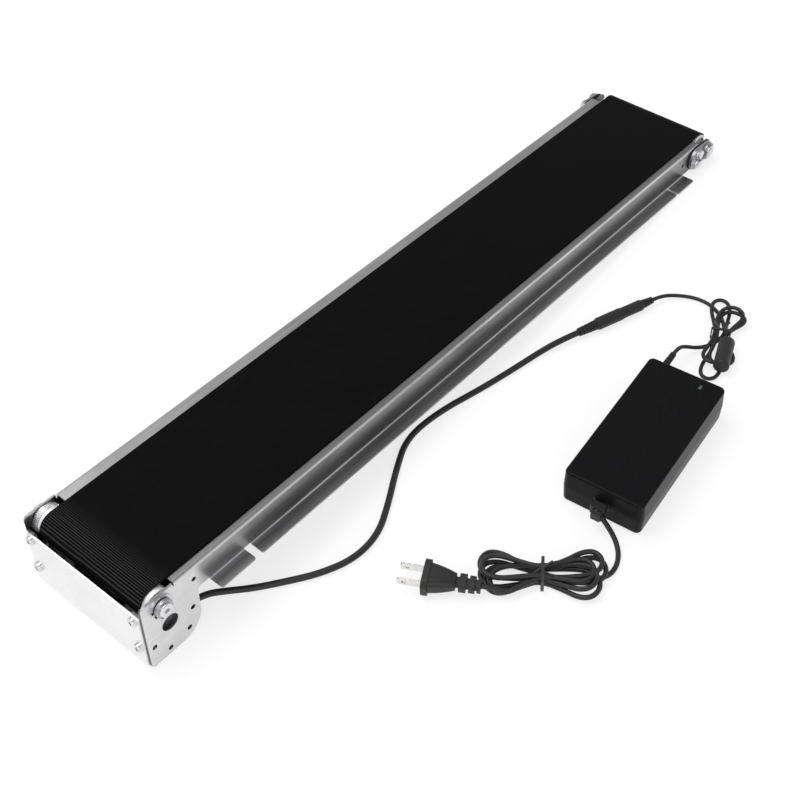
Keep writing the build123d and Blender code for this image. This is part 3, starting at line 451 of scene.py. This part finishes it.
NODE_FINISH = {
    "bed_frame": sheet_steel, "front_cover": cover_steel, "conveyor_belt": belt_black,
    "cover_screws": bright, "cover_clinch_nuts": bright, "pillar_screws": bright,
    "gearbox_screws": bright, "motor_pillars": bright, "motor_terminals": contact,
    "take_up_bolts": bright, "take_up_washers": bright, "take_up_nuts": bright,
    "take_up_plates": zinc, "motor_plate": zinc, "shaft_end_washers": collar,
    "shaft_end_screws": bright, "drive_bearing_outer_races": race,
    "drive_bearing_inner_races": race, "drive_bearing_balls": race,
    "drive_shaft": ground, "roller_gear": gear_steel, "motor_gear": gear_steel, "output_shaft": ground,
    "tail_shaft": tail_ground, "tail_shaft_clips": tail_ground, "tail_bushings": bushing,
    "collar_set_screws": black_steel,
    "gearbox_housing": cast_zinc, "motor_can": can_black, "motor_end_cap": brush_grey,
    "drive_drum": knurled_drum("drive_knurl", DRIVE), "tail_drum": knurled_drum("tail_knurl", TAIL),
    "take_up_pads": pad_black, "cable_grommet": pad_black, "inner_lead": cord_black,
    "inline_jack": plug_black, "dc_plug": plug_black, "dc_plug_barrel": contact,
    "dc_strain_relief": plug_black, "ferrite_core": plug_black, "ac_connector": plug_black,
    "ac_inlet": plug_black, "mains_plug": plug_black, "plug_blades": contact,
    "adapter_top_shell": case_black, "adapter_bottom_shell": case_black,
    "adapter_board": board_green, "adapter_feet": pad_black, "led_lens": lens_clear,
    "ac_hank_tie": tie_grey, "dc_hank_tie": tie_grey,
}


def dress_nodes():
    for name, material in NODE_FINISH.items():
        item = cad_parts[name]
        if item.material_slots:
            for place in item.material_slots:
                place.material = material
        else:
            item.data.materials.append(material)


# ---------------------------------------------------------------- cords
MOTOR_LEAD = [
    (-299.8, -47.0, 11.5), (-289.5, -47.0, 7.65), (-277.5, -54.0, 3.8), (-263.0, -67.0, 2.6),
    (-245.5, -80.5, 2.6), (-224.5, -95.5, 2.6), (-199.5, -106.0, 2.6), (-173.0, -105.0, 2.6),
    (-147.5, -92.5, 2.6), (-120.5, -77.0, 2.6), (-91.5, -63.0, 2.6), (-55.5, -65.5, 2.6),
    (-15.5, -76.5, 2.6), (18.5, -84.0, 2.6), (44.5, -89.5, 3.4), (63.9, -96.0, 5.4),
    (80.7, -102.4, 5.4),
]
DC_TAIL = [
    (98.96, -179.32, 14.0), (108.0, -178.5, 14.0), (117.0, -180.2, 8.6), (124.5, -185.6, 4.4),
    (130.5, -192.0, 5.2),
]
DC_LEAD = [
    (148.95, -128.35, 5.4), (158.3, -131.9, 5.4), (168.7, -141.0, 3.4), (176.1, -152.8, 2.1),
    (177.3, -165.8, 2.1), (171.7, -177.5, 3.4), (165.0, -185.5, 6.0),
]
AC_CORD = [
    (-69.0, -226.8, 12.0), (-70.8, -235.5, 7.4), (-76.5, -245.5, 2.8), (-87.0, -252.6, 2.1),
    (-98.5, -254.2, 2.1), (-108.0, -250.5, 4.5),
]
AC_END = [
    (-165.91, -192.39, 8.8), (-162.44, -199.04, 8.8), (-157.8, -206.6, 6.4), (-150.0, -211.0, 4.4),
]
MOTOR_LEAD_D = 5.0
DC_LEAD_D = 3.2
AC_CORD_D = 3.8
AC_ENTRY = (-117.1, -244.7, 3.2)          # leads the mains cord down onto its hank
AC_HANK, AC_HANK_ANGLE = (-129.5, -218.0), -54.9
DC_HANK, DC_HANK_ANGLE = (147.0, -194.5), 27.4
FAR_SIDE, NEAR_SIDE = 0.25, 0.75          # phases at which a turn passes its tie
NEXT_TURN = 0.75                          # phase from which the next turn's shape is used
AC_TURNS = (
    (44.0, 24.0, 2.0, 2.1, 2.1, 2.1, 0.00, 0.00),
    (41.0, 19.0, 6.0, 2.1, 6.0, 2.3, -0.22, -0.16),
    (45.0, 23.0, 2.2, 5.9, 6.2, 6.0, 0.16, 0.18),
    (38.0, 16.0, 6.2, 6.0, 9.6, 6.2, -0.10, -0.28),
    (43.0, 20.0, 2.4, 9.2, 9.8, 9.6, 0.28, 0.05),
    (36.0, 17.0, 4.0, 9.3, 9.8, 9.6, 0.08, 0.10),
)
DC_TURNS = (
    (44.0, 14.0, 2.2, 5.0, 1.9, 1.9, 0.00, 0.00),
    (47.0, 15.5, 2.2, 1.9, 1.9, 1.9, 0.04, 0.16),
    (32.0, 20.0, 2.4, 5.0, 5.2, 5.0, -0.42, -0.10),
    (34.0, 16.0, 4.6, 5.0, 8.4, 8.2, -0.32, 0.14),
)


def hank_turns(place, angle, turns, start, finish, steps=16):
    """Points of the tied turns, from a phase of the first to a phase of the last.

    Each turn has its reach, bulge and half slot at the tie, its heights at the tie, the right
    tip and the left tip, and how far its right and left ends fan out.
    """
    turned = Matrix.Rotation(radians(angle), 3, "Z")
    last = len(turns) - 1
    points = []
    for k in range(round(start * steps), round((last + finish) * steps) + 1):
        i = min(k // steps, last)
        phase = k / steps - i
        this, following = turns[i], turns[min(i + 1, last)]
        lobe = following if phase >= NEXT_TURN else this
        reach, bulge, fan_right, fan_left = lobe[0], lobe[1], lobe[6], lobe[7]
        ease = min(max(phase * 4 - 2.5, 0.0), 1.0)
        slot, tied, right, left = [p + (q - p) * ease for p, q in zip(this[2:6], following[2:6])]
        along, side = cos(2 * pi * k / steps), sin(2 * pi * k / steps)
        fan, tip = (fan_right, right) if along > 0 else (-fan_left, left)
        swing = Matrix.Rotation(fan * (1 - (1 - abs(along)) ** 2), 3, "Z")
        y = side * (slot + bulge * abs(along) ** 1.6)
        z = tied + (tip - tied) * along ** 2
        point = turned @ (swing @ Vector((reach * along, y, z)))
        points.append((place[0] + point.x, place[1] + point.y, point.z))
    return points


def make_cord(name, points, diameter, material):
    curve = bpy.data.curves.new(name, "CURVE")
    curve.dimensions = "3D"
    curve.bevel_depth = diameter * MM / 2
    curve.bevel_resolution = 5
    curve.resolution_u = 8
    curve.use_fill_caps = True
    spline = curve.splines.new("NURBS")
    spline.points.add(len(points) - 1)
    for knot, point in zip(spline.points, points):
        knot.co = (*mm(*point), 1)
    spline.order_u = 3
    spline.use_endpoint_u = True
    curve.materials.append(material)
    item = bpy.data.objects.new(name, curve)
    bpy.context.scene.collection.objects.link(item)
    return item


def spline_length(item):
    """The length of the cord's smooth line."""
    plain = item.copy()
    plain.data = item.data.copy()
    plain.data.bevel_depth = 0
    mesh = bpy.data.meshes.new_from_object(plain)
    total = sum((mesh.vertices[e.vertices[0]].co - mesh.vertices[e.vertices[1]].co).length
                for e in mesh.edges)
    bpy.data.meshes.remove(mesh)
    bpy.data.objects.remove(plain)
    return total


def make_cords():
    lead = make_cord("motor_lead_cord", MOTOR_LEAD, MOTOR_LEAD_D, cord_black)
    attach(lead, "frame")
    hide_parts("motor_lead")
    round(spline_length(lead), 3)
    turns = [AC_ENTRY] + hank_turns(AC_HANK, AC_HANK_ANGLE, AC_TURNS, FAR_SIDE, FAR_SIDE)
    cord = make_cord("mains_cord", AC_CORD + turns + AC_END[::-1], AC_CORD_D, cord_black)
    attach(cord, "frame")
    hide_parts("ac_cord", "ac_hank", "ac_cord_end")
    round(spline_length(cord), 3)
    turns = hank_turns(DC_HANK, DC_HANK_ANGLE, DC_TURNS, NEAR_SIDE, NEAR_SIDE)
    lead = make_cord("supply_lead", DC_TAIL + turns + DC_LEAD[::-1], DC_LEAD_D, cord_black)
    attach(lead, "frame")
    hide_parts("dc_lead", "dc_hank", "dc_lead_tail")
    round(spline_length(lead), 3)


set_camera()
set_studio()
make_floor()
dress_nodes()
make_cords()
